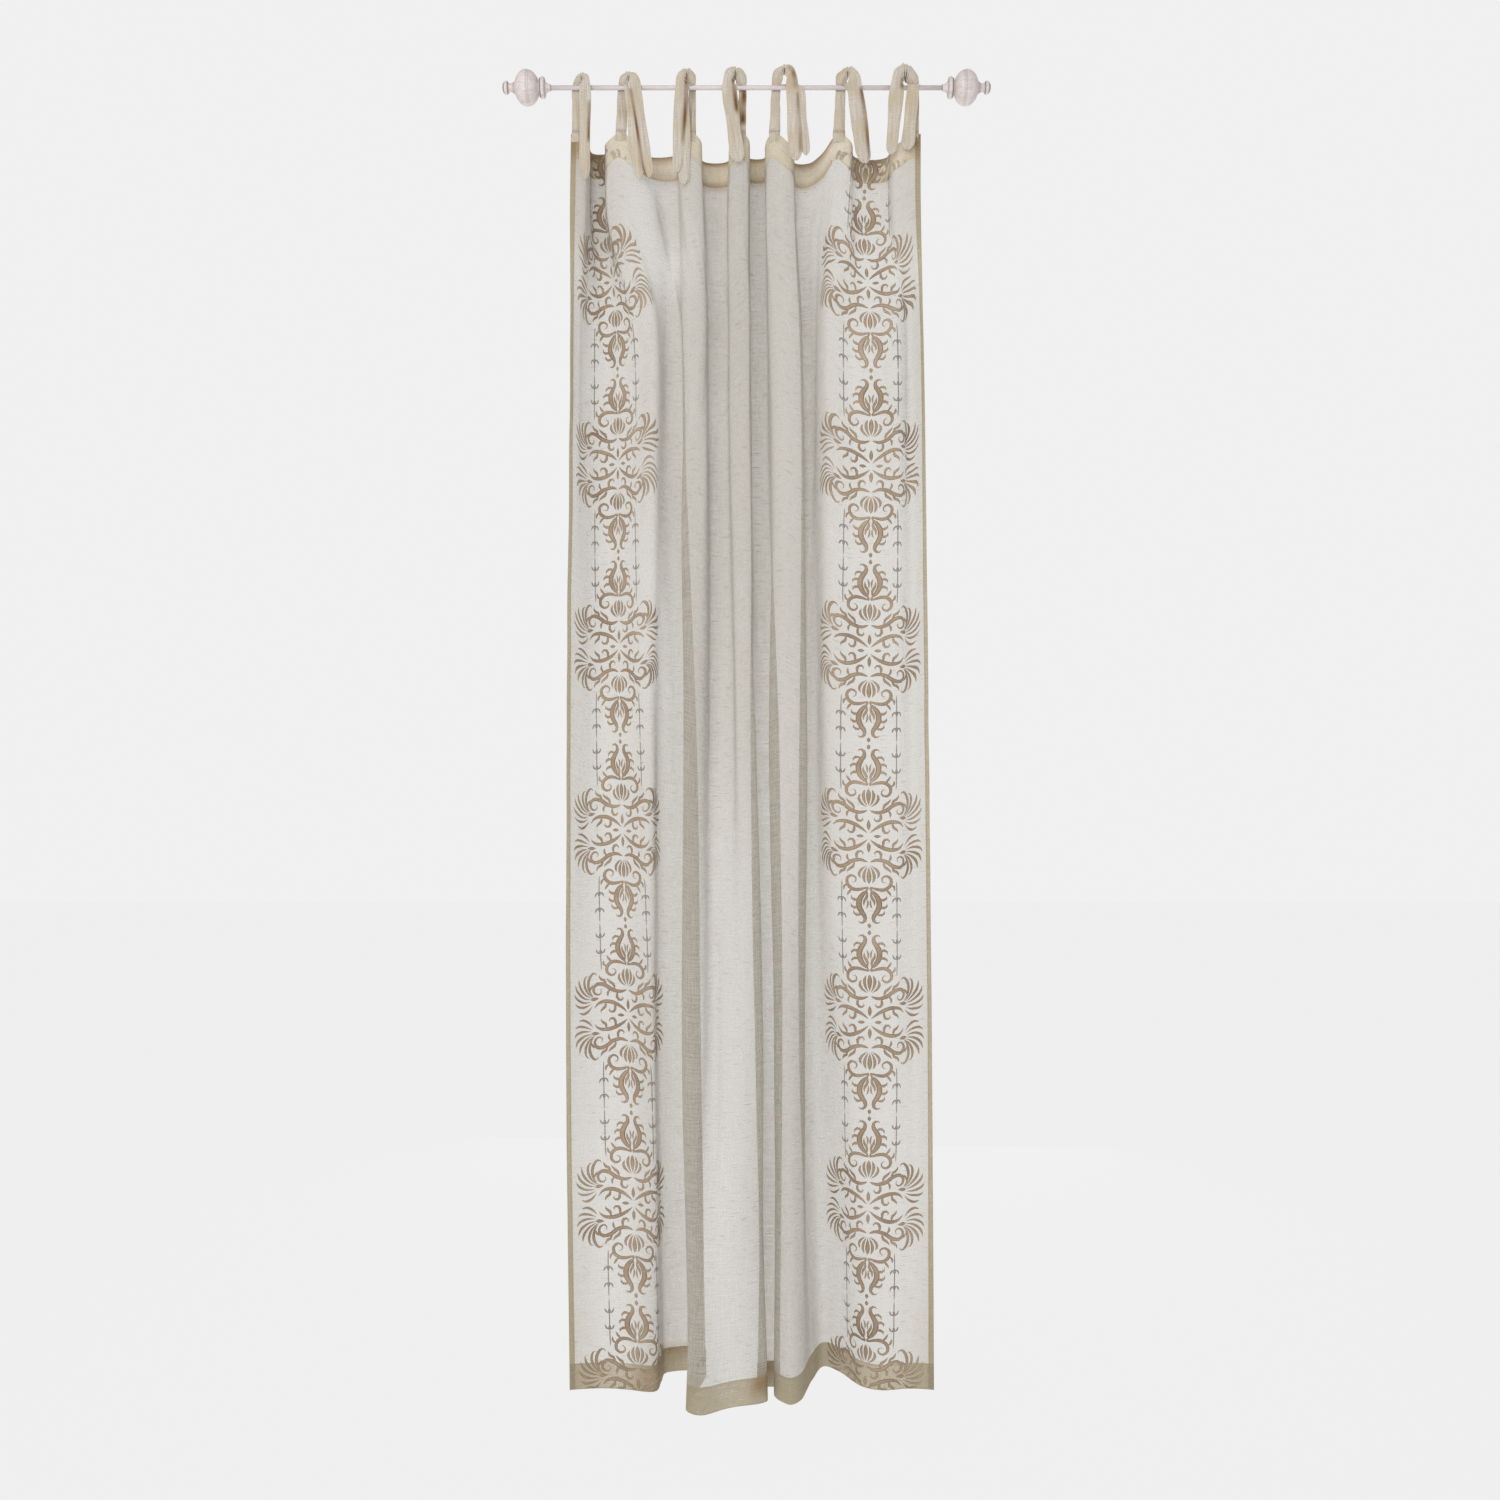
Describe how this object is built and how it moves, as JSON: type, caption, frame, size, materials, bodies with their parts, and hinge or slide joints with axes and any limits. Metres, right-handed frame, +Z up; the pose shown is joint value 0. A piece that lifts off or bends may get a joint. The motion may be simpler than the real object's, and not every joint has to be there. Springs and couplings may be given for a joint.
{
  "type": "sheer curtain on a rod",
  "caption": "Tie-top sheer curtain with embroidered side bands, hanging in deep folds from a thin painted rod with turned ball finials.",
  "frame": {"origin": "middle of the rod's axis", "axes": "+X along the rod to the viewer's right, +Y from the room towards the wall, +Z up"},
  "size_m": [1.05, 0.2336, 2.8367],
  "materials": {
    "sheer_cloth": "sheer slub linen-look voile, matt, hemmed on four sides, with taupe embroidery",
    "tie_tape": "doubled tape of the same cloth, pressed and creased",
    "rod_paint": "satin off-white paint",
    "finial_paint": "turned, limed off-white paint rubbed darker in the grooves"
  },
  "bodies": {
    "root": {"curtain_panel": "sheer_cloth", "tie_1": "tie_tape", "tie_2": "tie_tape", "tie_3": "tie_tape", "tie_4": "tie_tape", "tie_5": "tie_tape", "tie_6": "tie_tape", "tie_7": "tie_tape", "rod": "rod_paint", "finial_left": "finial_paint", "finial_right": "finial_paint"}
  },
  "joints": []
}
